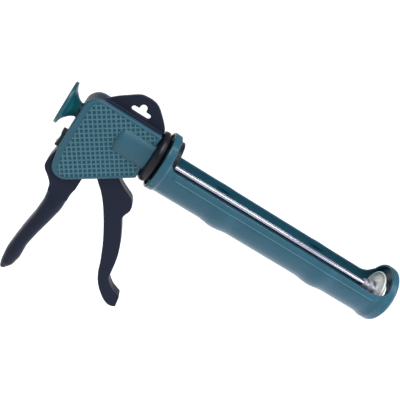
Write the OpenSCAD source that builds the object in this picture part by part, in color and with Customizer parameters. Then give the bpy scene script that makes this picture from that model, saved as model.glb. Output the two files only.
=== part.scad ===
// Caulking gun with a turning half-round cradle, for 310 ml sealant cartridges.
// Millimetres. X runs forward along the rod, Z is up towards the hang tab and
// Y = 0 is the mid plane. The origin is on the rod axis, at the face the
// cartridge stands on.

/* [Cradle] */
// outer radius of the trough
trough_radius = 27; // [26.6:0.1:27.4]
// wall thickness of the trough
trough_wall = 1.7; // [1.4:0.1:2]
// height of the trough edges above the rod axis
trough_edge = 4.3; // [2:0.1:6]
// from the cartridge seat to the inside of the front wall
cradle_reach = 242; // [238:1:250]
// radius of the nozzle hole in the front wall
nozzle_radius = 10.5; // [9:0.5:14]
// height of the two swells round the trough
swell_height = 1.7; // [0.5:0.1:1.7]

/* [Body] */
// half the width of the core moulding
core_half = 8; // [7.6:0.1:8.4]
// half the width over both covers
body_half = 14; // [13.6:0.1:15]
// thickness of the hang tab
tab_thickness = 5; // [4:0.5:7]
// width of the hang slot
slot_width = 19; // [16:0.5:20]

/* [Plunger] */
// radius of the plunger rod
rod_radius = 3.2; // [3:0.05:3.3]
// radius of the piston plate
piston_radius = 19.5; // [18:0.5:22]
// radius of the pull knob
knob_radius = 20.4; // [18:0.2:22]

/* [Trigger] */
// half the width of the trigger blade
trigger_half = 7.6; // [7:0.1:7.7]
// radius of the trigger pin
pin_radius = 3; // [2.5:0.1:3.2]

/* [Fits] */
// gap between a shaft and the hole it runs in
running_gap = 0.05; // [0.02:0.01:0.1]
// gap between neighbouring parts that move past each other
free_gap = 0.35; // [0.3:0.05:0.4]

/* [Hidden] */
$fn = 96;
big = 400;
inner_radius = trough_radius - trough_wall;
ring_radius = trough_radius + 1.25;
ring_rear = -12.5;
ring_front = -4.5;
cap_radius = trough_radius + 1.6;
cap_open = cradle_reach - 6.5;
cap_face = cradle_reach + 2.5;
hub_radius = 25.2;
hub_rear = -22.5;
spigot_radius = 12;
disc_rear = -4.2;
disc_radius = inner_radius - 0.9;
body_rear = -94.3;
body_top = 22;
front_wall = -27;
pivot = [-52.5, -34];
nose = [-61.5, -9.5];
nose_radius = 3.5;
plate_rear = nose[0] + nose_radius + free_gap;
plate_thick = 4;
spring_radius = 12;
spring_wire = 2.2;
spring_back = plate_rear + plate_thick + 0.1;
spring_front = front_wall - 3.2;
catch_pivot = [-83.5, 14.6];
catch_tilt = 5;
button_low = -37;
button_high = -22.4;
piston_x = cradle_reach - 8.8;
cover_wall = 2;
rim = 2.5;
bulge_radius = 17.9;
bulge_rear = -57.5;
screw_radius = 1.5;
screw_spots = [[-73, 17.4], [-40, 17.6], [-86.5, -47], [-68, -43], [-29.5, -23.2]];
disc_screw_ring = 8.4;
hub_screw_z = [15, -15];
body_corners = [
    [body_rear, body_top, 13],
    [hub_rear, body_top, 1.5],
    [hub_rear, -22.6, 1.5],
    [-88.6, -68.2, 12],
    [body_rear, -34, 20]
];

teal = [0.20, 0.42, 0.46];
navy = [0.13, 0.14, 0.24];
black = [0.05, 0.05, 0.06];
steel = [0.72, 0.73, 0.75];
zinc = [0.68, 0.68, 0.64];

// ---- outlines ----

// Inward unit normal of the edge from a to b of a clockwise outline.
function inward(a, b) = let (d = b - a, l = norm(d)) [d[1], -d[0]] / l;

// Crossing of two lines, each given by a point and a direction.
function crossing(p, u, q, v) =
    let (t = ((q[0] - p[0]) * v[1] - (q[1] - p[1]) * v[0]) / (u[0] * v[1] - u[1] * v[0]))
    p + t * u;

function xy(c) = [c[0], c[1]];

// Corner i of a clockwise outline, with its edges moved inward.
function inset_corner(c, i, inset) =
    let (
        n = len(c),
        a = xy(c[(i + n - 1) % n]),
        b = xy(c[i]),
        d = xy(c[(i + 1) % n])
    )
    crossing(a + inset * inward(a, b), b - a, b + inset * inward(b, d), d - b);

// Points of the arc that rounds a corner b between a and d.
function corner_arc(a, b, d, r, steps) =
    let (
        u = (a - b) / norm(a - b),
        v = (d - b) / norm(d - b),
        half = acos(u * v) / 2,
        m = (u + v) / norm(u + v),
        centre = b + m * r / sin(half),
        from = b + u * r / tan(half) - centre,
        to = b + v * r / tan(half) - centre,
        turn = 180 - 2 * half,
        way = from[0] * to[1] - from[1] * to[0] > 0 ? 1 : -1
    )
    [for (k = [0:steps])
        let (t = way * turn * k / steps)
        centre + [from[0] * cos(t) - from[1] * sin(t), from[0] * sin(t) + from[1] * cos(t)]];

// Outline with rounded corners [x, z, radius], moved inward by inset.
function rounded(c, inset = 0, steps = 8) =
    let (n = len(c), p = [for (i = [0:n - 1]) inset_corner(c, i, inset)])
    [for (i = [0:n - 1])
        for (q = corner_arc(p[(i + n - 1) % n], p[i], p[(i + 1) % n], max(c[i][2] - inset, 0.4), steps)) q];

// Smooth open curve through points.
function curve(p, steps = 4) =
    let (n = len(p))
    concat([for (i = [0:n - 2])
        let (a = p[max(i - 1, 0)], b = p[i], c = p[i + 1], d = p[min(i + 2, n - 1)])
        for (k = [0:steps - 1])
            let (t = k / steps)
            0.5 * (2 * b + t * (c - a) + t * t * (2 * a - 5 * b + 4 * c - d)
                + t * t * t * (3 * b - a - 3 * c + d))], [p[n - 1]]);

// ---- shared shapes ----

// Cylinder along X from x0 to x1.
module bar(x0, x1, r) {
    translate([x0, 0, 0])
        rotate([0, 90, 0])
            cylinder(h = x1 - x0, r = r);
}

// Cylinder along Y from y0 to y1.
module post(y0, y1, r) {
    translate([0, y1, 0])
        rotate([90, 0, 0])
            cylinder(h = y1 - y0, r = r);
}

// Flat X-Z shape made solid from y0 to y1.
module slab(y0, y1) {
    translate([0, y1, 0])
        rotate([90, 0, 0])
            linear_extrude(y1 - y0)
                children();
}

// Profile of [x, radius] points turned round the X axis.
module turned(profile) {
    rotate([0, 90, 0])
        rotate_extrude()
            polygon([for (p = profile) [p[1], p[0]]]);
}

// Places its children at an X-Z spot.
module at(spot) {
    translate([spot[0], 0, spot[1]])
        children();
}

// Box given by its low and high corners.
module block(low, high) {
    translate(low)
        cube(high - low);
}

// Coil round the X axis between x0 and x1.
module coil(x0, x1, outer, wire, turns) {
    height = x1 - x0;
    arc = 360 * wire * turns / height;
    band = [for (i = [0:8]) arc * i / 8];
    translate([x0, 0, 0])
        rotate([0, 90, 0])
            linear_extrude(height, twist = -360 * turns, slices = 14 * turns, $fn = 18)
                polygon(concat(
                    [for (a = band) outer * [cos(a), sin(a)]],
                    [for (i = [8:-1:0]) (outer - wire) * [cos(band[i]), sin(band[i])]]));
}

// Quarter round from a to b, bulging towards the corner given.
function round_edge(cx, cr, r, from, to, steps = 5) =
    [for (k = [0:steps])
        let (t = from + (to - from) * k / steps)
        [cx + r * cos(t), cr + r * sin(t)]];

// ---- core ----

handle_stations = [
    [-74, -72.4, 20.7, 25],
    [-89, -71.3, 18, 26],
    [-105, -73.2, 15.3, 26],
    [-121, -76, 14.1, 25],
    [-136.4, -78, 13.2, 24],
    [-152, -78.2, 15, 23],
    [-163.4, -78.6, 11.8, 18],
    [-172.4, -80.4, 4, 8]
];

module grip_slice(s) {
    for (side = [-1, 1])
        translate([s[1], side * (s[3] - s[2]) / 2, s[0]])
            cylinder(h = 0.6, r = s[2] / 2, center = true, $fn = 40);
}

module grip() {
    for (i = [0:len(handle_stations) - 2])
        hull() {
            grip_slice(handle_stations[i]);
            grip_slice(handle_stations[i + 1]);
        }
}

neck_back = [[-93.6, -36], [-95.6, -45.5], [-96.4, -53.6], [-94.9, -59], [-89.3, -64.4], [-83.8, -71], [-82.4, -78]];
neck_front = [[-62.2, -78], [-62.4, -69], [-60.8, -61], [-58.8, -54], [-57, -48]];

module neck_outline() {
    polygon(concat(curve(neck_back), curve(neck_front), [[-66, -38]]));
}

tab_curve = [[-81.5, body_top - 1], [-73.9, 28.6], [-66, 34.8], [-58.1, 40.6], [-52.5, 42.4], [-44.6, 42.6],
    [-38.6, 40.8], [-32.6, 36], [-26.5, 30.2], [hub_rear, 25.4]];

module hang_tab() {
    difference() {
        slab(-tab_thickness / 2, tab_thickness / 2)
            polygon(concat(curve(tab_curve), [[hub_rear, 20], [-81.5, 20]]));
        for (x = [-1, 1])
            translate([-48.9 + x * (slot_width / 2 - 2.4), 0, 28.1])
                post(-big, big, 2.4);
        block([-48.9 - slot_width / 2 + 2.4, -big, 25.7], [-48.9 + slot_width / 2 - 2.4, big, 30.5]);
        translate([-48.9, 0, 32.4])
            post(-big, big, 3.3);
        block([-52.2, -big, 29], [-45.6, big, 32.4]);
    }
}

module cavity_outline() {
    polygon([
        [-90, -41], [-79, -41], [-79, -18], [-75, -18], [-75, -36], [-64, -36], [-61.5, -44],
        [-61.5, -90], [front_wall, -90], [front_wall, body_top - 4], [-83, body_top - 3.8],
        [-87.3, 16.6], [-89.4, 13], [-90, 8]
    ]);
}

module core_frame() {
    color(navy) {
        difference() {
            slab(-core_half, core_half)
                difference() {
                    polygon(rounded(body_corners));
                    polygon([[-60.8, -50], [hub_rear + 1, -23], [hub_rear + 1, -90], [-60.8, -90]]);
                    cavity_outline();
                }
            bar(body_rear - 1, -88, 5.5);
            bar(front_wall - 1, hub_rear + 1, 5.3);
            block([body_rear - 1, -7.4, button_low - 2], [-89, 7.4, button_high + 0.7]);
            for (s = screw_spots)
                at(s)
                    post(-big, big, screw_radius + 0.05);
            for (z = hub_screw_z)
                translate([0, 0, z])
                    bar(front_wall - 1, hub_rear + 1, screw_radius + 0.05);
        }
        for (s = screw_spots)
            at(s)
                difference() {
                    post(-core_half, core_half, 3.4);
                    post(-big, big, screw_radius + 0.05);
                }
        difference() {
            slab(-10, 10)
                neck_outline();
            for (side = [-1, 1])
                slab(side > 0 ? core_half : -big, side > 0 ? big : -core_half)
                    polygon(rounded(body_corners, -0.2));
            slab(-big, big)
                cavity_outline();
            for (s = screw_spots)
                at(s)
                    post(-big, big, screw_radius + 0.05);
            block([body_rear - 5, -7.4, button_low - 2], [-89, 7.4, button_high + 0.7]);
        }
        hang_tab();
        grip();
    }
}

// ---- covers ----

module bulge(r, rear) {
    turned(concat(
        [[hub_rear - 0.3, 0]],
        [[rear, 0]],
        round_edge(rear + 6, r - 6, 6, 180, 90),
        [[hub_rear - 0.3, r]]));
}

// Cover on the +Y side. It reaches from the core's face to body_half.
module cover_shell() {
    edge = body_half - core_half;
    difference() {
        union() {
            slab(core_half, core_half + 0.45 * edge)
                polygon(rounded(body_corners));
            slab(core_half + 0.45 * edge, core_half + 0.75 * edge)
                polygon(rounded(body_corners, 0.8));
            slab(core_half + 0.75 * edge, body_half)
                polygon(rounded(body_corners, 2.2));
            intersection() {
                bulge(bulge_radius, bulge_rear);
                block([-big, core_half, -big], [big, big, big]);
            }
        }
        difference() {
            slab(core_half - 1, body_half - cover_wall)
                polygon(rounded(body_corners, rim));
            for (s = screw_spots)
                at(s)
                    post(core_half, body_half, 3.4);
            for (s = [pivot, catch_pivot])
                at(s)
                    post(core_half + 1, body_half, s == pivot ? 6 : 4);
        }
        intersection() {
            bulge(bulge_radius - cover_wall, bulge_rear + cover_wall);
            block([-big, core_half - 1, -12.5], [hub_rear - 3, big, 12.5]);
        }
        block([hub_rear - 0.3, -big, -big], [big, big, big]);
        at(pivot)
            post(0, body_half - cover_wall, pin_radius + 0.01);
        at(catch_pivot)
            post(0, body_half - cover_wall, 1.51);
    }
}

module right_cover() {
    color(teal)
        mirror([0, 1, 0])
            difference() {
                cover_shell();
                for (s = screw_spots)
                    at(s)
                        post(0, body_half - cover_wall, screw_radius + 0.02);
            }
}

module left_cover() {
    color(teal)
        difference() {
            cover_shell();
            for (s = screw_spots)
                at(s) {
                    post(0, big, screw_radius + 0.05);
                    post(body_half - 2.2, big, 2.9);
                }
        }
}

// Pan head screw along Y, head outward on +Y.
module cover_screw() {
    difference() {
        union() {
            post(-body_half + cover_wall + 0.6, body_half - 2, screw_radius);
            post(body_half - 2.2, body_half - 0.4, 2.7);
        }
        block([-0.4, body_half - 1.3, -1.7], [0.4, big, 1.7]);
        block([-1.7, body_half - 1.3, -0.4], [1.7, big, 0.4]);
    }
}

module cover_screws() {
    color(steel)
        for (s = screw_spots)
            at(s)
                cover_screw();
}

// ---- hub the cradle turns on ----

module front_hub() {
    color(black)
        difference() {
            turned(concat(
                [[hub_rear, 5.2]],
                round_edge(hub_rear + 4, hub_radius - 4, 4, 180, 90),
                round_edge(-15.8, hub_radius - 3, 3, 90, 0),
                [[-12.8, 21.5], [-9.6, 21.5], [-9.6, spigot_radius], [disc_rear, spigot_radius], [disc_rear, 5.2]]));
            for (z = hub_screw_z)
                translate([0, 0, z])
                    bar(hub_rear - 1, -15, screw_radius + 0.02);
            for (a = [90, 210, 330])
                rotate([a, 0, 0])
                    translate([0, 0, disc_screw_ring])
                        bar(-12, 1, screw_radius + 0.02);
        }
}

module hub_screws() {
    color(steel)
        for (z = hub_screw_z)
            translate([0, 0, z]) {
                difference() {
                    bar(front_wall - 2.2, front_wall, 2.7);
                    block([-big, -0.4, -1.7], [front_wall - 1.2, 0.4, 1.7]);
                    block([-big, -1.7, -0.4], [front_wall - 1.2, 1.7, 0.4]);
                }
                bar(front_wall - 0.1, -15.5, screw_radius);
            }
}

module retaining_disc() {
    color(black)
        difference() {
            turned(concat(
                [[disc_rear, rod_radius + free_gap]],
                round_edge(disc_rear + 0.8, disc_radius - 0.8, 0.8, 180, 90, 3),
                round_edge(-0.8, disc_radius - 0.8, 0.8, 90, 0, 3),
                [[0, rod_radius + free_gap]]));
            for (a = [90, 210, 330])
                rotate([a, 0, 0])
                    translate([0, 0, disc_screw_ring]) {
                        bar(-12, 1, screw_radius + 0.05);
                        bar(-2, 1, 2.9);
                    }
        }
}

module disc_screws() {
    color(steel)
        for (a = [90, 210, 330])
            rotate([a, 0, 0])
                translate([0, 0, disc_screw_ring])
                    difference() {
                        union() {
                            bar(-11.5, -1.9, screw_radius);
                            bar(-2, -0.3, 2.7);
                        }
                        block([-1.2, -0.4, -1.7], [big, 0.4, 1.7]);
                        block([-1.2, -1.7, -0.4], [big, 1.7, 0.4]);
                    }
}

module front_bush() {
    color(black)
        difference() {
            union() {
                bar(front_wall - 1.4, disc_rear - 0.1, 5.19);
                bar(front_wall - 1.4, front_wall, 8);
            }
            bar(-big, big, rod_radius + running_gap);
        }
}

module rear_bush() {
    color(black)
        difference() {
            union() {
                bar(body_rear - 0.9, -90, 5.49);
                bar(body_rear - 0.9, body_rear, 7.4);
            }
            bar(-big, big, rod_radius + running_gap);
        }
}

module spring_seat() {
    color(steel)
        difference() {
            bar(front_wall - 3.1, front_wall - 1.4, 12.4);
            bar(-big, big, rod_radius + free_gap);
            for (z = hub_screw_z)
                translate([0, 0, z])
                    bar(-big, big, 3.1);
        }
}

module trigger_pin() {
    color(steel)
        at(pivot)
            post(-body_half + cover_wall + 0.2, body_half - cover_wall - 0.2, pin_radius);
}

module catch_pin() {
    color(steel)
        at(catch_pivot)
            post(-body_half + cover_wall + 0.2, body_half - cover_wall - 0.2, 1.5);
}

// ---- cradle ----

// Height of the swells at x along the trough.
function swell(x) =
    let (a = min(abs(x - 60.5), 17), b = min(abs(x - 171.5), 17))
    swell_height * ((1 + cos(a * 180 / 17)) + (1 + cos(b * 180 / 17))) / 2;

swell_x = concat([for (i = [0:12]) 43.5 + i * 34 / 12], [for (i = [0:12]) 154.5 + i * 34 / 12]);

// Open side of the cradle as seen from the side.
module opening_outline() {
    difference() {
        translate([ring_front, trough_edge])
            square([cap_open - ring_front, big]);
        difference() {
            translate([ring_front - 1, trough_edge - 1])
                square([9, 9]);
            translate([ring_front + 8, trough_edge + 8])
                circle(8);
        }
        difference() {
            translate([cap_open - 13, trough_edge - 1])
                square([14, 9.2]);
            translate([cap_open - 13, trough_edge + 14.4])
                circle(14.4);
        }
    }
}

module cradle_shell() {
    turned(concat(
        [[-9.2, spigot_radius + running_gap], [-9.2, ring_radius - 2.2], [ring_rear, ring_radius - 2.2]],
        [[ring_rear, ring_radius - 1]],
        round_edge(ring_rear + 1, ring_radius - 1, 1, 180, 90, 3),
        round_edge(ring_front - 1.5, ring_radius - 1.5, 1.5, 90, 20, 3),
        [[ring_front + 1.2, trough_radius]],
        [for (x = swell_x) [x, trough_radius + swell(x)]],
        [[cap_open - 9, trough_radius], [cap_open - 5, trough_radius + 0.6], [cap_open - 1, cap_radius]],
        round_edge(cap_face - 3, cap_radius - 3, 3, 90, 0),
        [[cap_face, nozzle_radius], [cradle_reach, nozzle_radius]],
        round_edge(cradle_reach - 2, cap_radius - 4.2, 2, 0, 90, 4),
        [[cap_open, cap_radius - 2.2], [cap_open - 8, inner_radius]],
        [for (i = [len(swell_x) - 1:-1:0]) [swell_x[i], inner_radius + swell(swell_x[i])]],
        [[disc_rear - 0.6, inner_radius], [disc_rear - 0.6, spigot_radius + running_gap]]));
}

module cradle() {
    color(teal)
        difference() {
            union() {
                cradle_shell();
                intersection() {
                    difference() {
                        bar(3, cap_open - 6, trough_radius + 0.7);
                        bar(-big, big, inner_radius + 0.5);
                    }
                    block([0, -big, trough_edge - 5.5], [big, big, trough_edge + 9]);
                }
            }
            slab(-big, big)
                opening_outline();
        }
}

// ---- plunger ----

module plunger_rod() {
    color(steel)
        difference() {
            bar(body_rear - 11, piston_x + 7.4, rod_radius);
            bar(body_rear - 12, body_rear - 3, screw_radius + 0.02);
        }
}

module pull_knob() {
    rear = body_rear - 15.1;
    front = body_rear - 1.3;
    color(teal)
        difference() {
            turned(concat(
                [[rear, 0]],
                round_edge(rear + 1.4, knob_radius - 1.4, 1.4, 180, 90, 4),
                round_edge(rear + 2.2, knob_radius - 1.2, 1.2, 90, 0, 4),
                curve([[rear + 3.4, knob_radius - 2.4], [rear + 5.2, 14.1], [rear + 7.7, 11], [rear + 10.2, 8.7],
                    [front - 1.2, 7.3], [front, 6.9]]),
                [[front, 0]]));
            bar(body_rear - 11, big, rod_radius + 0.01);
            bar(rear - 1, 0, screw_radius + 0.05);
            bar(rear - 1, rear + 2, 3.4);
        }
}

module knob_screw() {
    rear = body_rear - 15.1;
    color(steel)
        difference() {
            union() {
                bar(rear + 0.3, rear + 2, 3.2);
                bar(rear + 1.9, body_rear - 3.5, screw_radius);
            }
            block([-big, -0.45, -2], [rear + 1.2, 0.45, 2]);
            block([-big, -2, -0.45], [rear + 1.2, 2, 0.45]);
        }
}

module piston_hub() {
    color(steel)
        turned([
            [piston_x - 12.4, rod_radius + 0.01], [piston_x - 12.4, 4.8], [piston_x - 11.8, 5.4],
            [piston_x - 9.3, 5.4], [piston_x - 8.7, 4.8], [piston_x - 8.7, 4.3], [piston_x - 7.6, 4.3],
            [piston_x - 7.6, 6.8], [piston_x - 7, 7.4], [piston_x - 4, 7.4], [piston_x - 3.4, 6.8],
            [piston_x - 3.4, 5], [piston_x - 1.4, 5], [piston_x - 1.4, rod_radius + 0.01]
        ]);
}

module piston_washer() {
    color(steel)
        turned([
            [piston_x - 1.4, rod_radius + 0.01], [piston_x - 1.4, 8.2], [piston_x - 1.1, 8.5],
            [piston_x + 0.6, 8.5], [piston_x + 0.6, rod_radius + 0.01]
        ]);
}

module piston_disc() {
    r = piston_radius;
    color(zinc)
        turned(concat(
            [[piston_x + 0.6, rod_radius + 0.01], [piston_x + 0.6, 8.6]],
            curve([[piston_x + 0.8, 9.2], [piston_x + 2, 12], [piston_x + 2, r - 4], [piston_x + 1.2, r - 2]]),
            [[piston_x, r - 0.8], [piston_x + 0.2, r - 0.2], [piston_x + 0.6, r], [piston_x + 1.4, r]],
            curve([[piston_x + 3.2, r - 2], [piston_x + 4, r - 4], [piston_x + 4, 12], [piston_x + 2.6, 9.2]]),
            [[piston_x + 2.6, rod_radius + 0.01]]));
}

module piston_nut() {
    color(steel)
        difference() {
            turned([[piston_x + 2.6, 0], [piston_x + 2.6, 6.2], [piston_x + 6, 6.2], [piston_x + 6.6, 5.4], [piston_x + 6.6, 0]]);
            bar(-big, big, rod_radius + 0.01);
            for (a = [0:60:300])
                rotate([a, 0, 0])
                    block([-big, -20, 5.5], [big, 20, 20]);
        }
}

// ---- trigger ----

trigger_rear = [[-58.6, -39.2], [-52.5, -42.4], [-46.8, -47.8], [-40.8, -53.4], [-33.3, -62.8], [-27, -72.4],
    [-20.4, -83.5], [-12.3, -99], [-4.1, -118.2], [-2.2, -124.2], [4.5, -136.2], [16, -147.2], [25, -151.2], [31.6, -149.2]];
trigger_front = [[29.4, -138.4], [26.4, -137.2], [18.4, -133.6], [10.6, -126], [9, -118], [5.9, -102.2], [0.8, -88.2],
    [-6.3, -74.4], [-10.8, -66.4], [-11, -62], [-9, -55.6], [-10, -49.6], [-14, -44.6], [-21.2, -41],
    [-28.6, -37], [-38, -30.4], [-46, -27.4], [-52.5, -26]];

module trigger() {
    color(navy)
        difference() {
            union() {
                slab(-trigger_half, trigger_half)
                    polygon(concat(curve(trigger_rear, 3), curve(trigger_front, 3)));
                at(pivot) {
                    post(-trigger_half, trigger_half, 8);
                    post(-core_half - 0.6, core_half + 0.6, 4.8);
                }
                slab(-5, 5)
                    polygon([
                        [pivot[0] - 7.6, pivot[1] + 2], [nose[0] - 3.4, nose[1] - 1], [nose[0] + 2.6, nose[1] - 2.4],
                        [pivot[0] - 1.5, pivot[1] + 7]
                    ]);
                at(nose)
                    post(-5, 5, nose_radius);
            }
            at(pivot)
                post(-big, big, pin_radius + running_gap);
        }
}

module drive_plate() {
    color(steel)
        difference() {
            block([plate_rear, -10.5, -13.4], [plate_rear + plate_thick, 10.5, 12.6]);
            bar(-big, big, rod_radius + free_gap);
        }
}

module drive_spring() {
    color(steel)
        coil(spring_back, spring_front, spring_radius, spring_wire, 5);
}

// ---- catch ----

// Children drawn upright at the catch pivot, swung to the rest tilt.
module catch_rest() {
    at(catch_pivot)
        rotate([0, catch_tilt, 0])
            children();
}

module catch_plate() {
    color(steel)
        catch_rest()
            difference() {
                union() {
                    block([-1.3, -7, -36], [1.3, 7, 0]);
                    block([-1.3, -4.5, -47], [1.3, 4.5, -35]);
                    post(-7, 7, 2.6);
                }
                post(-big, big, 1.5 + running_gap);
                translate([0, 0, -catch_pivot[1] / cos(catch_tilt)])
                    bar(-big, big, rod_radius + 0.6);
            }
}

module release_button() {
    color(black)
        difference() {
            slab(-6.8, 6.8)
                difference() {
                    polygon(rounded([[-98.4, button_high, 1.2], [-84.6, button_high, 1], [-84.6, button_low, 1],
                        [-98.4, button_low, 1.2]], 0, 4));
                    translate([-98.4 - 17.6, (button_high + button_low) / 2])
                        circle(19);
                }
            catch_rest()
                block([-1.31, -4.51, -47.01], [1.31, 4.51, 0]);
        }
}

module catch_spring() {
    color(steel)
        translate([0, 0, -20.2])
            coil(-84.3, -79.1, 3, 0.8, 4);
}

core_frame();
right_cover();
left_cover();
cover_screws();
front_hub();
hub_screws();
retaining_disc();
disc_screws();
front_bush();
rear_bush();
spring_seat();
trigger_pin();
catch_pin();
cradle();
plunger_rod();
pull_knob();
knob_screw();
piston_hub();
piston_washer();
piston_disc();
piston_nut();
trigger();
drive_plate();
drive_spring();
catch_plate();
release_button();
catch_spring();
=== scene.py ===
import math
import bpy
import bmesh
from mathutils import Matrix, Vector


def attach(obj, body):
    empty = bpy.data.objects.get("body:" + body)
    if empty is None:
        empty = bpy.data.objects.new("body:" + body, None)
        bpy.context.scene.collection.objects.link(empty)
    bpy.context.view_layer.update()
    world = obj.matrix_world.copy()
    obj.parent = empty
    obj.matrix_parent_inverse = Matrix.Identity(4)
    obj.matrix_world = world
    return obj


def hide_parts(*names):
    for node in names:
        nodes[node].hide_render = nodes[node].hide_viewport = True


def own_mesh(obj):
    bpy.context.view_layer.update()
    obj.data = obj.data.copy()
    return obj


MM = 0.001
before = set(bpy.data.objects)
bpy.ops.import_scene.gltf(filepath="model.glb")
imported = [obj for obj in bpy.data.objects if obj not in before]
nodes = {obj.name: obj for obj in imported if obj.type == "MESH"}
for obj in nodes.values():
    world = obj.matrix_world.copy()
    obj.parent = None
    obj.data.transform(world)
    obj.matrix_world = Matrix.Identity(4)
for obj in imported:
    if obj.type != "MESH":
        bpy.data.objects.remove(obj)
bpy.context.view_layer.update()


# ---------------------------------------------------------------- shader tools

def new_material(name):
    mat = bpy.data.materials.new(name)
    mat.use_nodes = True
    tree = mat.node_tree
    shader = next(n for n in tree.nodes if n.type == "BSDF_PRINCIPLED")
    return mat, tree, shader


def noise(tree, coords, scale, detail, rough=0.55, stretch=(1, 1, 1)):
    mapping = tree.nodes.new("ShaderNodeMapping")
    mapping.inputs["Scale"].default_value = stretch
    node = tree.nodes.new("ShaderNodeTexNoise")
    node.inputs["Scale"].default_value = scale
    node.inputs["Detail"].default_value = detail
    node.inputs["Roughness"].default_value = rough
    tree.links.new(coords, mapping.inputs["Vector"])
    tree.links.new(mapping.outputs["Vector"], node.inputs["Vector"])
    return node.outputs["Fac"]


def ramp(tree, fac, stops):
    """Colour ramp through (position, colour) stops."""
    node = tree.nodes.new("ShaderNodeValToRGB")
    node.color_ramp.elements[0].position = stops[0][0]
    node.color_ramp.elements[0].color = (*stops[0][1], 1)
    node.color_ramp.elements[1].position = stops[-1][0]
    node.color_ramp.elements[1].color = (*stops[-1][1], 1)
    for place, color in stops[1:-1]:
        element = node.color_ramp.elements.new(place)
        element.color = (*color, 1)
    tree.links.new(fac, node.inputs["Fac"])
    return node.outputs["Color"]


def mottle(tree, fac, color, vary):
    """The colour, a little darker and lighter along a noise."""
    dark = tuple(c * (1 - vary) for c in color)
    light = tuple(min(1, c * (1 + vary)) for c in color)
    return ramp(tree, fac, [(0.3, dark), (0.7, light)])


def vary_roughness(tree, shader, fac, rough):
    """Lets the roughness wander about its middle value along a noise."""
    node = tree.nodes.new("ShaderNodeMapRange")
    node.inputs["From Min"].default_value = 0.3
    node.inputs["From Max"].default_value = 0.7
    node.inputs["To Min"].default_value = rough * 0.9
    node.inputs["To Max"].default_value = rough * 1.12
    tree.links.new(fac, node.inputs["Value"])
    tree.links.new(node.outputs["Result"], shader.inputs["Roughness"])


def bump(tree, shader, height, strength, distance):
    node = tree.nodes.new("ShaderNodeBump")
    node.inputs["Strength"].default_value = strength
    node.inputs["Distance"].default_value = distance
    tree.links.new(height, node.inputs["Height"])
    tree.links.new(node.outputs["Normal"], shader.inputs["Normal"])


# ---------------------------------------------------------------- materials

def plastic(name, color, rough, vary, grain, specular, coat=0.0):
    """Moulded plastic with a faint flow mottling and a fine grain."""
    mat, tree, shader = new_material(name)
    coords = tree.nodes.new("ShaderNodeTexCoord").outputs["Object"]
    cloud = noise(tree, coords, 38, 3)
    fine = noise(tree, coords, 2600, 2)
    tree.links.new(mottle(tree, cloud, color, vary), shader.inputs["Base Color"])
    vary_roughness(tree, shader, cloud, rough)
    bump(tree, shader, fine, grain, 0.00006)
    shader.inputs["Specular IOR Level"].default_value = specular
    shader.inputs["Coat Weight"].default_value = coat
    shader.inputs["Coat Roughness"].default_value = 0.12
    return mat


def metal(name, color, rough, vary, grain, stretch=(1, 1, 1)):
    """Plated or drawn metal with fine brushing, drawn out where the stretch is small."""
    mat, tree, shader = new_material(name)
    coords = tree.nodes.new("ShaderNodeTexCoord").outputs["Object"]
    brush = noise(tree, coords, 900, 3, 0.6, stretch)
    cloud = noise(tree, coords, 60, 3)
    tree.links.new(mottle(tree, cloud, color, vary), shader.inputs["Base Color"])
    vary_roughness(tree, shader, brush, rough)
    bump(tree, shader, brush, grain, 0.00003)
    shader.inputs["Metallic"].default_value = 1.0
    return mat


# name, colour, roughness, variation of the colour, strength of the grain
TEAL = plastic("teal enamel", (0.015, 0.072, 0.100), 0.28, 0.05, 0.08, specular=0.20, coat=0.05)
TEAL_COVER = plastic("teal cover", (0.017, 0.070, 0.096), 0.42, 0.05, 0.3, specular=0.25)
# painted shade: a darker copy of the cover teal for the sunk squares of the pattern
TEAL_PIT_PAINTED_SHADE = plastic("teal pit painted shade", (0.011, 0.045, 0.065), 0.5, 0.05, 0.3, specular=0.2)
# painted highlight: a lighter copy of the cover teal for the pattern's ribs and the beads below the trough's
# rims
TEAL_PAINTED_HIGHLIGHT = plastic("teal painted highlight", (0.036, 0.118, 0.142), 0.38, 0.05, 0.2, specular=0.3)
TEAL_KNOB = plastic("teal knob", (0.004, 0.058, 0.068), 0.34, 0.06, 0.2, specular=0.3)
NAVY = plastic("navy plastic", (0.0066, 0.0096, 0.0210), 0.40, 0.07, 0.35, specular=0.12)
BLACK = plastic("black gloss", (0.0025, 0.0033, 0.006), 0.34, 0.08, 0.05, specular=0.26)
BUTTON = plastic("button plastic", (0.004, 0.015, 0.018), 0.42, 0.08, 0.3, specular=0.2)
CHROME = metal("bright plated", (0.66, 0.66, 0.74), 0.16, 0.02, 0.2, stretch=(0.04, 1, 1))
ZINC = metal("dull zinc", (0.86, 0.87, 0.83), 0.6, 0.04, 0.25)
SATIN = metal("satin plated", (0.60, 0.60, 0.64), 0.42, 0.05, 0.3)
STEEL = metal("zinc plated steel", (0.50, 0.50, 0.51), 0.32, 0.08, 0.4)
WIRE = metal("spring wire", (0.30, 0.30, 0.32), 0.30, 0.08, 0.3)


# ---------------------------------------------------------------- mesh tools

def clamp(t):
    return min(max(t, 0), 1)


def circle(count):
    """Angles of so many even steps of a full turn."""
    return [2 * math.pi * i / count for i in range(count)]


def paint(obj, mat):
    obj.data.materials.clear()
    obj.data.materials.append(mat)


def smooth(obj, angle):
    """Shades a mesh smooth, apart from edges sharper than the angle in degrees."""
    for face in obj.data.polygons:
        face.use_smooth = True
    obj.data.set_sharp_from_angle(angle=math.radians(angle))


def soften(obj, width):
    """Shades a CAD node smooth and rounds its sharp edges by a small bevel, in millimetres."""
    sharp = 32
    smooth(obj, sharp)
    if not width:
        return
    mod = obj.modifiers.new("edge", "BEVEL")
    mod.width = width * MM
    mod.segments = 2
    mod.limit_method = "ANGLE"
    mod.angle_limit = math.radians(sharp)
    mod.harden_normals = True
    mod.use_clamp_overlap = True


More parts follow.
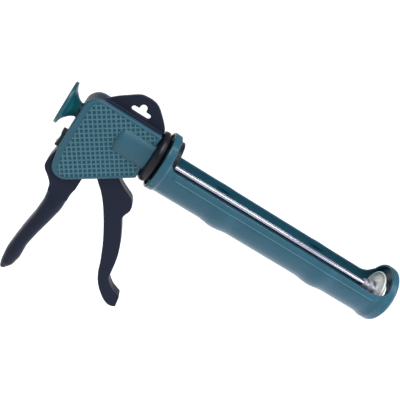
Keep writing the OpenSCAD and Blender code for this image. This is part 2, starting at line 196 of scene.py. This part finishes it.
def mesh_object(name, bm, mats, body, angle, replaces=()):
    """Makes a visible piece of a bmesh, and frees the bmesh."""
    bmesh.ops.recalc_face_normals(bm, faces=bm.faces)
    data = bpy.data.meshes.new(name)
    bm.to_mesh(data)
    bm.free()
    obj = bpy.data.objects.new(name, data)
    bpy.context.collection.objects.link(obj)
    smooth(obj, angle)
    for mat in mats:
        data.materials.append(mat)
    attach(obj, body)
    if replaces:
        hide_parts(*replaces)


def loft(bm, rings, caps=False, hoop=False):
    """Skins closed rings of points in millimetres. May cap both ends, or join the last ring to the first."""
    made = [[bm.verts.new(Vector(p) * MM) for p in ring] for ring in rings]
    count = len(made[0])
    after = made[1:] + made[:1] if hoop else made[1:]
    for a, b in zip(made, after):
        for i in range(count):
            j = (i + 1) % count
            bm.faces.new((a[i], a[j], b[j], b[i]))
    if caps:
        bm.faces.new(list(reversed(made[0])))
        bm.faces.new(made[-1])


def turned(name, profile, mat, body, replaces=()):
    """Turns a closed (x, radius) profile about the rod's axis."""
    turns = circle(144)
    bm = bmesh.new()
    loft(bm, [[(x, r * math.cos(a), r * math.sin(a)) for a in turns] for x, r in profile], hoop=True)
    mesh_object(name, bm, [mat], body, 40, replaces)


def arc_between(start, end, centre, turn, steps):
    """Points of an arc about the centre. start and end are measured from the centre, turn is in radians."""
    way = 1 if start.x * end.y - start.y * end.x > 0 else -1
    points = []
    for k in range(steps + 1):
        t = way * turn * k / steps
        x = start.x * math.cos(t) - start.y * math.sin(t)
        y = start.x * math.sin(t) + start.y * math.cos(t)
        points.append(centre + Vector((x, y)))
    return points


def rounded_outline(corners, inset):
    """Convex X-Z outline of (x, z, radius) corners, moved in by one inset for each edge."""
    count = len(corners)
    least_radius, steps = 0.5, 9
    points = [Vector((x, z)) for x, z, _ in corners]
    lines = []
    for i in range(count):
        a, b = points[i], points[(i + 1) % count]
        along = (b - a).normalized()
        lines.append((a + inset[i] * Vector((along.y, -along.x)), along))
    moved = []
    for i in range(count):
        (p, u), (q, v) = lines[i - 1], lines[i]
        t = ((q.x - p.x) * v.y - (q.y - p.y) * v.x) / (u.x * v.y - u.y * v.x)
        moved.append(p + t * u)
    outline = []
    for i in range(count):
        before, corner, after = moved[i - 1], moved[i], moved[(i + 1) % count]
        radius = max(corners[i][2] - (inset[i - 1] + inset[i]) / 2, least_radius)
        u = (before - corner).normalized()
        v = (after - corner).normalized()
        half = u.angle(v) / 2
        centre = corner + (u + v).normalized() * radius / math.sin(half)
        start = corner + u * radius / math.tan(half) - centre
        end = corner + v * radius / math.tan(half) - centre
        outline += arc_between(start, end, centre, math.pi - 2 * half, steps)
    return outline


# ---------------------------------------------------------------- covers

# outline of the covers: x, z and radius of each corner, from the top rear one on
CORNERS = [(-94.3, 22, 13), (-22.8, 22, 1.5), (-22.8, -22.8, 1.5), (-88.6, -68.2, 12), (-94.3, -34, 20)]
# heads of the cover screws on the left cover
SCREWS = [(-73, 17.4), (-40, 17.6), (-86.5, -47), (-68, -43), (-29.5, -23.2)]
# for each cover: its side, the width of its plain border along each edge, and the screw heads it shows
COVERS = {
    "right_cover": (-1, [2.4, 4.0, 2.8, 5.8, 6.2], []),
    "left_cover": (1, [2.4, 4.0, 2.8, 1.8, 2.4], SCREWS),
}
# distances from the middle plane of the gun
SEAM = 8.0
FACE = 13.9
BEAD = 14.05
FIELD = 12.9
PATTERN_TOP = 13.85
# radius of the rounded edge
EDGE = 2.0
# square pattern, in rows along the slanted lower edge
PITCH = 4.05
RIB = 1.0
FLANK = 0.7
DEEP = 0.4
PATTERN_MID = (-58, -10)
SLANT = math.atan2(CORNERS[2][1] - CORNERS[3][1], CORNERS[2][0] - CORNERS[3][0])
# ring round a screw head
BOSS = 3.9


def cover_shell(name, side, border):
    """A cover's shell: the seam, the rounded edge, the face, and a bead round the sunk field."""
    tuck, bevel, edge_steps = 2.5, 0.25, 7

    def ring(inset, y):
        return [(p.x, side * y, p.y) for p in rounded_outline(CORNERS, inset)]

    def even(width):
        return [width] * len(CORNERS)

    def inside(margin):
        return [width - margin for width in border]

    rings = [ring(even(tuck), FACE - EDGE), ring(even(tuck), SEAM), ring(even(bevel), SEAM)]
    rings += [ring(even(0), SEAM + 0.3), ring(even(0), FACE - EDGE)]
    for k in range(1, edge_steps + 1):
        t = math.radians(90 * k / edge_steps)
        rings.append(ring(even(EDGE * (1 - math.cos(t))), FACE - EDGE + EDGE * math.sin(t)))
    rings += [ring(inside(1.0), FACE), ring(inside(0.7), BEAD), ring(inside(0.3), BEAD), ring(border, FIELD)]
    bm = bmesh.new()
    loft(bm, rings, caps=True)
    mesh_object(name, bm, [TEAL_COVER], "frame", 38, (name,))


def on_grid(u, v):
    """Place of a grid point of the square pattern, as x and z."""
    x = PATTERN_MID[0] + PITCH * (u * math.cos(SLANT) - v * math.sin(SLANT))
    z = PATTERN_MID[1] + PITCH * (u * math.sin(SLANT) + v * math.cos(SLANT))
    return Vector((x, z))


def pattern_cell(bm, i, j, side):
    """One cell of the pattern: half a rib all round, four flanks and the sunk square between them. The rib
    is painted lighter as a highlight and the sunk square darker as shade.
    """
    # the rib gets a lighter teal as a painted highlight, the sunk square a darker teal as painted shade
    rib_highlight_material, pit_shade_material = 1, 2

    def square(margin, y):
        low = margin / PITCH / 2
        high = 1 - low
        spots = [on_grid(i + a, j + b) for a, b in ((low, low), (high, low), (high, high), (low, high))]
        return [bm.verts.new(Vector((p.x, side * y, p.y)) * MM) for p in spots]

    outer = square(0, PATTERN_TOP)
    edge = square(RIB, PATTERN_TOP)
    pit = square(RIB + FLANK, PATTERN_TOP - DEEP)
    for k in range(4):
        m = (k + 1) % 4
        bm.faces.new((outer[k], outer[m], edge[m], edge[k])).material_index = rib_highlight_material
        bm.faces.new((edge[k], edge[m], pit[m], pit[k]))
    bm.faces.new(pit).material_index = pit_shade_material


def push_out(bm, x, z, radius):
    """Moves the vertices within a circle in X and Z out to its edge."""
    for v in bm.verts:
        away = Vector((v.co.x / MM - x, v.co.z / MM - z))
        if away.length < radius:
            away = away.normalized() * radius
            v.co.x = (x + away.x) * MM
            v.co.z = (z + away.y) * MM


def cut_to_outline(bm, outline):
    """Cuts away what lies outside a convex X-Z outline."""
    shortest = 1e-4
    for p, q in zip(outline, outline[1:] + outline[:1]):
        if (q - p).length < shortest:
            continue
        along = (q - p).normalized()
        outward = Vector((-along.y, 0, along.x))
        geom = bm.verts[:] + bm.edges[:] + bm.faces[:]
        bmesh.ops.bisect_plane(bm, geom=geom, plane_co=Vector((p.x, 0, p.y)) * MM, plane_no=outward,
                               clear_outer=True, dist=1e-7)


def cover_pattern(name, side, border, screws):
    """The square pattern of a cover: ribs with sunk squares, cut to the field inside the border."""
    reach, clear_of_screw, overlap = 26, 2.9, 0.15
    bm = bmesh.new()
    for i in range(-reach, reach + 1):
        for j in range(-reach, reach + 1):
            mid = on_grid(i + 0.5, j + 0.5)
            on_cover = -96 < mid.x < -20 and -64 < mid.y < 24
            on_screw = any(math.hypot(mid.x - x, mid.y - z) < clear_of_screw for x, z in screws)
            if on_cover and not on_screw:
                pattern_cell(bm, i, j, side)
    bmesh.ops.remove_doubles(bm, verts=bm.verts, dist=1e-6)
    for x, z in screws:
        push_out(bm, x, z, BOSS - 0.4)
    cut_to_outline(bm, rounded_outline(CORNERS, [width - overlap for width in border]))
    # ribs with a painted highlight, sunk squares with painted shade
    mesh_object(name + "_pattern", bm, [TEAL_COVER, TEAL_PAINTED_HIGHLIGHT, TEAL_PIT_PAINTED_SHADE], "frame", 20)


def cover_bulge(name, side):
    """Half-round housing of the drive spring on a cover, rounded at its rear end."""
    rear, front, outer, corner, back = -57.5, -22.8, 17.9, 7, 10.5
    stations = []
    for degrees in range(30, 91, 6):
        t = math.radians(degrees)
        stations.append((rear + corner * (1 - math.cos(t)), outer - corner + corner * math.sin(t)))
    stations += [(x, outer) for x in (-45, -38, -31, front)]
    arc = [math.radians(degrees) for degrees in range(-52, 53, 4)]
    rings = []
    for x, radius in stations:
        ring = [(x, side * radius * math.cos(a), radius * math.sin(a)) for a in arc]
        ring += [(x, side * back, radius * 0.75), (x, side * back, -radius * 0.75)]
        rings.append(ring)
    bm = bmesh.new()
    loft(bm, rings, caps=True)
    mesh_object(name + "_bulge", bm, [TEAL_COVER], "frame", 40)


def boss(number, x, z):
    """Raised ring round one screw head of the left cover."""
    bore = 2.95
    profile = [(bore, FIELD), (bore, FACE), (bore + 0.15, BEAD), (BOSS - 0.3, BEAD), (BOSS, FACE - 0.1),
               (BOSS, FIELD)]
    turns = circle(36)
    bm = bmesh.new()
    loft(bm, [[(x + r * math.cos(a), y, z + r * math.sin(a)) for a in turns] for r, y in profile])
    mesh_object(f"left_boss_{number}", bm, [TEAL_COVER], "frame", 30)


# ---------------------------------------------------------------- remeshed mouldings

def baked(obj):
    """Applies the modifiers of a piece to its mesh."""
    deps = bpy.context.evaluated_depsgraph_get()
    data = bpy.data.meshes.new_from_object(obj.evaluated_get(deps))
    obj.modifiers.clear()
    obj.data = data


def melt(obj, rounds, weight=None):
    """Melts a mesh round. weight gives the share of it at a point in millimetres, none means all over."""
    mod = obj.modifiers.new("melt", "SMOOTH")
    mod.factor = 0.5
    mod.iterations = rounds
    if weight:
        group = obj.vertex_groups.new(name="melt")
        for v in obj.data.vertices:
            share = weight(v.co / MM)
            if share > 0:
                group.add([v.index], share, "REPLACE")
        mod.vertex_group = "melt"
    baked(obj)


def moulded(node, name, voxel, rounds, mat, body, shape=None, extra=None):
    """A copy of a CAD node with its edges melted round, as a moulding has them."""
    data = nodes[node].data.copy()
    data.name = name
    obj = bpy.data.objects.new(name, data)
    bpy.context.collection.objects.link(obj)
    if shape:
        for v in data.vertices:
            v.co = shape(v.co)
    mod = obj.modifiers.new("remesh", "REMESH")
    mod.mode = "VOXEL"
    mod.voxel_size = voxel * MM
    melt(obj, rounds)
    if extra:
        weight, more_rounds = extra
        melt(obj, more_rounds, weight)
    for face in obj.data.polygons:
        face.use_smooth = True
    paint(obj, mat)
    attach(obj, body)
    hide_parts(node)
    return obj


def slim_neck(co):
    """Narrows the top of the grip to the neck it grows out of. co is in metres."""
    low, high, half_width = -76 * MM, -73 * MM, 9.9 * MM
    if low < co.z < high and abs(co.y) > half_width:
        co.y = math.copysign(half_width, co.y)
    return co


def grip_share(p):
    """0 in the housing and 1 down the grip, with 8 mm between them."""
    return clamp((-62 - p.z) / 8)


def highlight_bead(name, shell, side):
    """Thin raised line below the rim of the trough, laid on the moulding's own surface and painted lighter
    as a highlight line.
    """
    rear, length, height, radius, steps, beyond = 6, 220, -1.2, 0.6, 60, 60
    turns = circle(8)
    rings = []
    for k in range(steps + 1):
        x = rear + length * k / steps
        spot = shell.ray_cast(Vector((x, side * beyond, height)) * MM, Vector((0, -side, 0)))[1]
        y = spot.y / MM
        rings.append([(x, y + radius * math.cos(a), height + radius * math.sin(a)) for a in turns])
    bm = bmesh.new()
    loft(bm, rings, caps=True)
    # painted highlight: the bead takes the lighter teal
    mesh_object(name, bm, [TEAL_PAINTED_HIGHLIGHT], "cradle", 60)


# ---------------------------------------------------------------- turned pieces and springs

def knob_buffer():
    """Thin black buffer between the knob and the rear guide."""
    rear, front, bore, outer = -95.58, -95.22, 4.1, 6.9
    profile = [(rear, bore), (rear, outer - 0.1), (rear + 0.08, outer)]
    profile += [(front - 0.08, outer), (front, outer - 0.1), (front, bore)]
    turned("knob_buffer", profile, BLACK, "plunger")


def hub_collar():
    """The full-bodied collar, with its crown and the neck that carries the cradle's ring."""
    rear, step, front, bore, shoulder, neck = -22.45, -9.7, -4.3, 5.3, 20.6, 11.9
    crown_mid, crown_half, crown_height = -17.4, 4.9, 4.6
    profile = [(rear, bore), (rear, shoulder - 0.6)]
    for degrees in range(172, 7, -8):
        t = math.radians(degrees)
        profile.append((crown_mid + crown_half * math.cos(t), shoulder + crown_height * math.sin(t)))
    profile += [(-12.4, shoulder), (step, shoulder), (step, neck), (front, neck), (front, bore)]
    turned("hub_collar", profile, BLACK, "frame", ("front_hub",))


def spring(name, node, body, rear, front, radius, wire, turns, z=0.0):
    """A coil of round wire along X between rear and front, with its end turns closed."""
    steps_a_turn, closed = 28, 0.8
    curve_data = bpy.data.curves.new(name, "CURVE")
    curve_data.dimensions = "3D"
    curve_data.bevel_depth = wire / 2 * MM
    curve_data.bevel_resolution = 4
    line = curve_data.splines.new("POLY")
    count = int(turns * steps_a_turn)
    line.points.add(count)
    for i in range(count + 1):
        done = turns * i / count
        a = 2 * math.pi * done
        x = rear + wire / 2 + (front - rear - wire) * clamp((done - closed) / (turns - 2 * closed))
        line.points[i].co = (x * MM, radius * math.cos(a) * MM, (z + radius * math.sin(a)) * MM, 1)
    curve = bpy.data.objects.new(name, curve_data)
    bpy.context.collection.objects.link(curve)
    bpy.context.view_layer.update()
    deps = bpy.context.evaluated_depsgraph_get()
    data = bpy.data.meshes.new_from_object(curve.evaluated_get(deps))
    bpy.data.objects.remove(curve)
    coil = bpy.data.objects.new(name, data)
    bpy.context.collection.objects.link(coil)
    for face in data.polygons:
        face.use_smooth = True
    paint(coil, WIRE)
    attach(coil, body)
    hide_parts(node)
    return coil


# ---------------------------------------------------------------- build

# material and width of the bevel for each CAD node that is shown as it is
FINISH = {
    "retaining_disc": (BLACK, 0), "front_bush": (BLACK, 0.15), "rear_bush": (BLACK, 0.15),
    "pull_knob": (TEAL_KNOB, 0), "plunger_rod": (CHROME, 0.3), "piston_disc": (ZINC, 0),
    "piston_hub": (SATIN, 0), "piston_washer": (SATIN, 0), "piston_nut": (STEEL, 0.2),
    "cover_screws": (STEEL, 0.1), "hub_screws": (STEEL, 0.1), "disc_screws": (STEEL, 0.1),
    "knob_screw": (STEEL, 0.1), "spring_seat": (STEEL, 0.15), "trigger_pin": (STEEL, 0.2),
    "catch_pin": (STEEL, 0.15), "drive_plate": (STEEL, 0.3), "catch_plate": (STEEL, 0.25),
}

for cover_name, (side, border, screws) in COVERS.items():
    cover_shell(cover_name, side, border)
    cover_pattern(cover_name, side, border, screws)
    cover_bulge(cover_name, side)
    for number, (x, z) in enumerate(screws, 1):
        boss(number, x, z)

cradle_shell = moulded("cradle", "cradle_shell", 0.55, 5, TEAL, "cradle")
# lighter beads below both rims of the trough, a painted highlight line
highlight_bead("highlight_bead_near", cradle_shell, -1)
highlight_bead("highlight_bead_far", cradle_shell, 1)
moulded("core_frame", "core_moulding", 0.7, 5, NAVY, "frame", slim_neck, (grip_share, 40))
moulded("trigger", "trigger_blade", 0.6, 9, NAVY, "trigger")
moulded("release_button", "thumb_button", 0.35, 5, BUTTON, "release")

for node_name, (mat, width) in FINISH.items():
    paint(nodes[node_name], mat)
    soften(nodes[node_name], width)

knob_buffer()
hub_collar()
drive = spring("drive_coil", "drive_spring", "frame", -53.5, -30.3, 10.9, 2.0, 5)
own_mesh(drive)
catch = spring("catch_coil", "catch_spring", "frame", -84.3, -79.1, 2.6, 0.65, 3.25, z=-20.2)
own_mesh(catch)


# ---------------------------------------------------------------- floor, light, camera

# height on the sky and colour there: white at the horizon, dim above it, brighter overhead
SKY = [
    (0.0, (1.1, 1.1, 1.1)),
    (0.12, (1.1, 1.1, 1.1)),
    (0.26, (0.16, 0.17, 0.19)),
    (0.45, (0.18, 0.19, 0.21)),
    (0.75, (0.42, 0.43, 0.47)),
]
# name, place, aim, width, depth, power and colour of each area light, in metres and watts
LIGHTS = [
    ("key", (-0.15, -0.55, 0.95), (0.05, 0, 0), 0.4, 0.4, 1.6, (0.90, 0.93, 1.0)),
    ("strip", (0.12, -0.16, 0.95), (0.10, 0, 0), 0.8, 0.14, 2.8, (0.92, 0.96, 1.0)),
    ("wall", (0.60, -1.40, 0.55), (0, 0, 0), 1.1, 1.1, 1.9, (0.92, 0.92, 1.0)),
    ("side", (0.95, -0.42, 0.30), (-0.03, 0, 0), 0.36, 1.5, 12.0, (0.78, 0.76, 1.0)),
    ("rear", (0.50, 1.37, 0.43), (0.08, 0, 0), 0.34, 0.30, 1.1, (0.95, 0.97, 1.0)),
]
SUN_AIM = (0.22, 0.50, -0.84)
CAMERA_PLACE = (-0.10976, -0.59439, 0.18625)
CAMERA_AZIMUTH = math.radians(-14.16)
CAMERA_ELEVATION = math.radians(18.03)
CAMERA_ROLL = math.radians(35.64)


def add_floor():
    """Pale floor well below the part, which glows a little."""
    mat, _, shader = new_material("floor")
    shader.inputs["Base Color"].default_value = (0.93, 0.93, 0.93, 1)
    shader.inputs["Roughness"].default_value = 0.9
    shader.inputs["Emission Color"].default_value = (1, 1, 1, 1)
    shader.inputs["Emission Strength"].default_value = 0.34
    bm = bmesh.new()
    bmesh.ops.create_grid(bm, x_segments=2, y_segments=2, size=30)
    data = bpy.data.meshes.new("floor")
    bm.to_mesh(data)
    bm.free()
    floor = bpy.data.objects.new("floor", data)
    floor.location = (0, 0, -0.62)
    bpy.context.collection.objects.link(floor)
    data.materials.append(mat)


def add_sky():
    world = bpy.data.worlds.new("studio")
    bpy.context.scene.world = world
    world.use_nodes = True
    tree = world.node_tree
    background = tree.nodes["Background"]
    split = tree.nodes.new("ShaderNodeSeparateXYZ")
    tree.links.new(tree.nodes.new("ShaderNodeTexCoord").outputs["Generated"], split.inputs["Vector"])
    tree.links.new(ramp(tree, split.outputs["Z"], SKY), background.inputs["Color"])
    background.inputs["Strength"].default_value = 1.0


def add_sun():
    data = bpy.data.lights.new("sun", "SUN")
    data.energy = 1.85
    data.angle = math.radians(30)
    sun = bpy.data.objects.new("sun", data)
    bpy.context.collection.objects.link(sun)
    sun.rotation_euler = Vector(SUN_AIM).to_track_quat("-Z", "Y").to_euler()


def area_light(name, place, aim, width, depth, power, color):
    data = bpy.data.lights.new(name, "AREA")
    data.energy = power
    data.color = color
    data.shape = "RECTANGLE"
    data.size = width
    data.size_y = depth
    obj = bpy.data.objects.new(name, data)
    bpy.context.collection.objects.link(obj)
    obj.location = place
    obj.rotation_euler = (Vector(aim) - Vector(place)).to_track_quat("-Z", "Y").to_euler()


def add_camera(azimuth, elevation, roll):
    flat = math.cos(elevation)
    back = Vector((math.sin(azimuth) * flat, -math.cos(azimuth) * flat, math.sin(elevation)))
    right = (-back).cross(Vector((0, 0, 1))).normalized()
    up = right.cross(-back)
    x_axis = right * math.cos(roll) + up * math.sin(roll)
    y_axis = up * math.cos(roll) - right * math.sin(roll)
    data = bpy.data.cameras.new("camera")
    data.lens = 63.0
    data.sensor_width = 36.0
    data.clip_start = 0.01
    data.clip_end = 100
    camera = bpy.data.objects.new("camera", data)
    bpy.context.collection.objects.link(camera)
    turn = Matrix((x_axis, y_axis, back)).transposed()
    camera.matrix_world = Matrix.Translation(CAMERA_PLACE) @ turn.to_4x4()
    bpy.context.scene.camera = camera


add_floor()
add_sky()
add_sun()
for light in LIGHTS:
    area_light(*light)
add_camera(CAMERA_AZIMUTH, CAMERA_ELEVATION, CAMERA_ROLL)
bpy.context.scene.view_settings.view_transform = "Standard"
bpy.context.scene.view_settings.look = "None"
